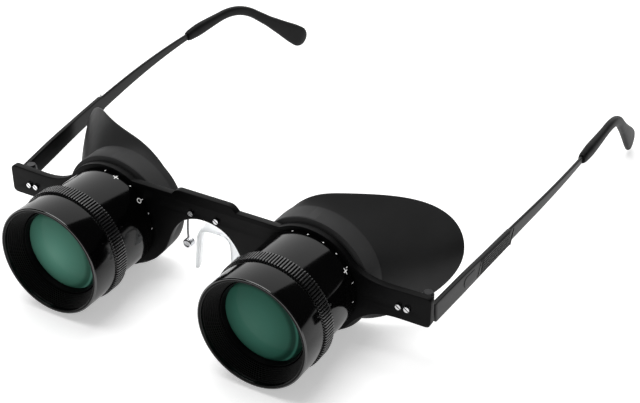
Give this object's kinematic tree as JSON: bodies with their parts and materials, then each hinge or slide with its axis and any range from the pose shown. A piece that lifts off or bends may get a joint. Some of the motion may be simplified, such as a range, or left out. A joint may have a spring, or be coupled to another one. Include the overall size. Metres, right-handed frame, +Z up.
{
  "type": "binocular glasses",
  "caption": "Hands-free Galilean binocular in a spectacle frame: knurled focus rings, coated objectives, winged rubber eyecups, folding temples and a clear nose saddle",
  "frame": {"origin": "Middle of the bridge's flat front face, on the plane of symmetry.", "axes": "X across the face towards the wearer's left, Y from the objectives back to the wearer, Z up. Both barrels point along -Y."},
  "size_m": [0.1449, 0.1702, 0.0384],
  "materials": {
    "satin_black_plastic": "satin black moulded plastic",
    "gloss_black_barrel": "polished black barrel shells",
    "coated_glass": "polished, green anti-reflection coating",
    "clear_glass": "polished clear glass",
    "black_rubber": "matte dark grey-black rubber",
    "black_hinge_metal": "black painted steel",
    "black_lacquer_metal": "semi-gloss black lacquered spring steel",
    "gloss_black_tip": "gloss black moulded ear tips",
    "steel_screw": "bright slotted steel screws",
    "chrome_wire": "bright nickel-plated wire",
    "clear_silicone": "clear soft silicone"
  },
  "bodies": {
    "frame": {"front_frame": "satin_black_plastic", "nose_bracket": "chrome_wire", "nose_saddle": "clear_silicone", "guide_tube_left": "satin_black_plastic", "guide_screw_left": "steel_screw", "eye_lens_left": "clear_glass", "eye_lens_ring_left": "satin_black_plastic", "eyecup_left": "black_rubber", "hinge_leaf_left": "black_hinge_metal", "hinge_pin_left": "black_hinge_metal", "outer_screw_left": "steel_screw", "inner_screw_left": "steel_screw", "bridge_screw_left": "steel_screw", "nose_mount_left": "chrome_wire", "guide_tube_right": "satin_black_plastic", "guide_screw_right": "steel_screw", "eye_lens_right": "clear_glass", "eye_lens_ring_right": "satin_black_plastic", "eyecup_right": "black_rubber", "hinge_leaf_right": "black_hinge_metal", "hinge_pin_right": "black_hinge_metal", "outer_screw_right": "steel_screw", "inner_screw_right": "steel_screw", "bridge_screw_right": "steel_screw", "nose_mount_right": "chrome_wire"},
    "left_focus": {"focus_ring_left": "gloss_black_barrel"},
    "left_objective": {"objective_tube_left": "gloss_black_barrel", "objective_lens_left": "coated_glass", "lens_ring_left": "satin_black_plastic"},
    "left_arm": {"temple_left": "black_lacquer_metal", "temple_tip_left": "gloss_black_tip"},
    "right_focus": {"focus_ring_right": "gloss_black_barrel"},
    "right_objective": {"objective_tube_right": "gloss_black_barrel", "objective_lens_right": "coated_glass", "lens_ring_right": "satin_black_plastic"},
    "right_arm": {"temple_right": "black_lacquer_metal", "temple_tip_right": "gloss_black_tip"}
  },
  "joints": [
    {"name": "focus_ring_left_turn", "type": "hinge", "parent": "frame", "child": "left_focus", "pos_m": [0.032, -0.016, -0.0116], "axis": [0, -1, 0], "range_deg": [0, 120.2]},
    {"name": "objective_left_slide", "type": "slide", "parent": "frame", "child": "left_objective", "axis": [0, -1, 0], "range_m": [0, 0.003]},
    {"name": "temple_left_fold", "type": "hinge", "parent": "frame", "child": "left_arm", "pos_m": [0.0646, 0.005, -0.0104], "axis": [0, 0, 1], "range_deg": [-1.1, 84], "deforming": ["eyecup_left"]},
    {"name": "focus_ring_right_turn", "type": "hinge", "parent": "frame", "child": "right_focus", "pos_m": [-0.032, -0.016, -0.0116], "axis": [0, -1, 0], "range_deg": [0, 120.2]},
    {"name": "objective_right_slide", "type": "slide", "parent": "frame", "child": "right_objective", "axis": [0, -1, 0], "range_m": [0, 0.003]},
    {"name": "temple_right_fold", "type": "hinge", "parent": "frame", "child": "right_arm", "pos_m": [-0.0646, 0.005, -0.0104], "axis": [0, 0, -1], "range_deg": [-6, 74], "deforming": ["eyecup_right"]}
  ],
  "couplings": [
    {"joint": "focus_ring_left_turn", "follows": "objective_left_slide", "rad_per_m": 698.13},
    {"joint": "focus_ring_right_turn", "follows": "objective_right_slide", "rad_per_m": 698.13}
  ]
}
